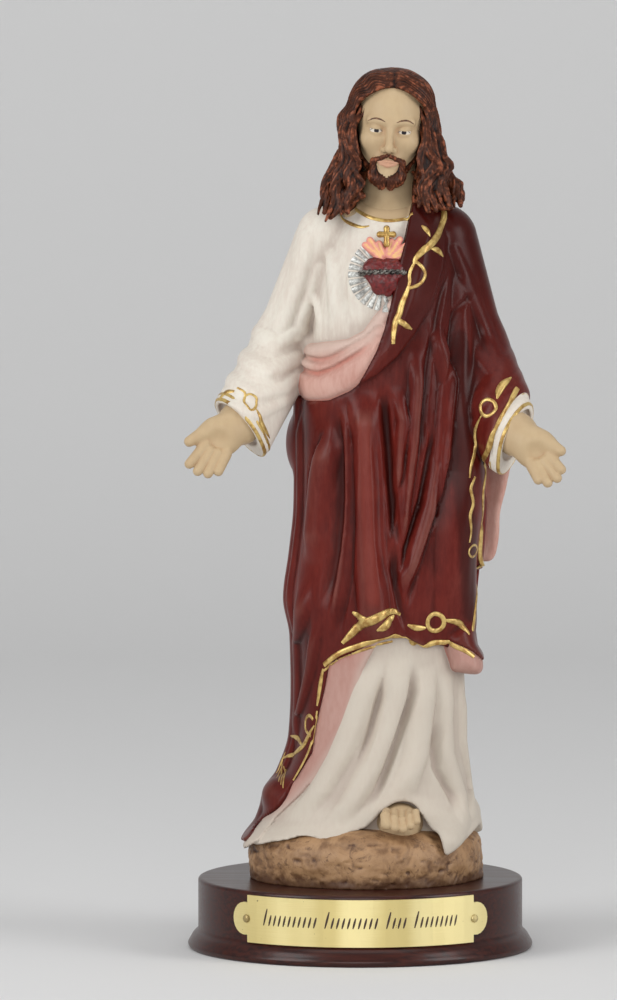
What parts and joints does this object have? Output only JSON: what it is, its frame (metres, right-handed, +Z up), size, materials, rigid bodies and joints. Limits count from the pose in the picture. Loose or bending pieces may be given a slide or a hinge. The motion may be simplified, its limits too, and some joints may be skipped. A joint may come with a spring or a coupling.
{
  "type": "sacred heart statue",
  "caption": "Standing robed man with open hands and a heart in relief on the chest, cast in one piece on a rock, on a round wooden plinth with a pinned brass nameplate.",
  "frame": {"origin": "centre of the plinth's flat underside, on the plinth's axis", "axes": "+Z up along the plinth's axis, the figure faces -Y, +X to the viewer's right"},
  "size_m": [0.0816, 0.0742, 0.19],
  "materials": {
    "painted_resin": "hand painted resin, satin",
    "stained_wood": "dark mahogany stain, satin lacquer",
    "brass": "satin brushed"
  },
  "bodies": {
    "root": {"plinth": "stained_wood", "nameplate": "brass", "plate_pin_left": "brass", "plate_pin_right": "brass", "figure": "painted_resin"}
  },
  "joints": []
}
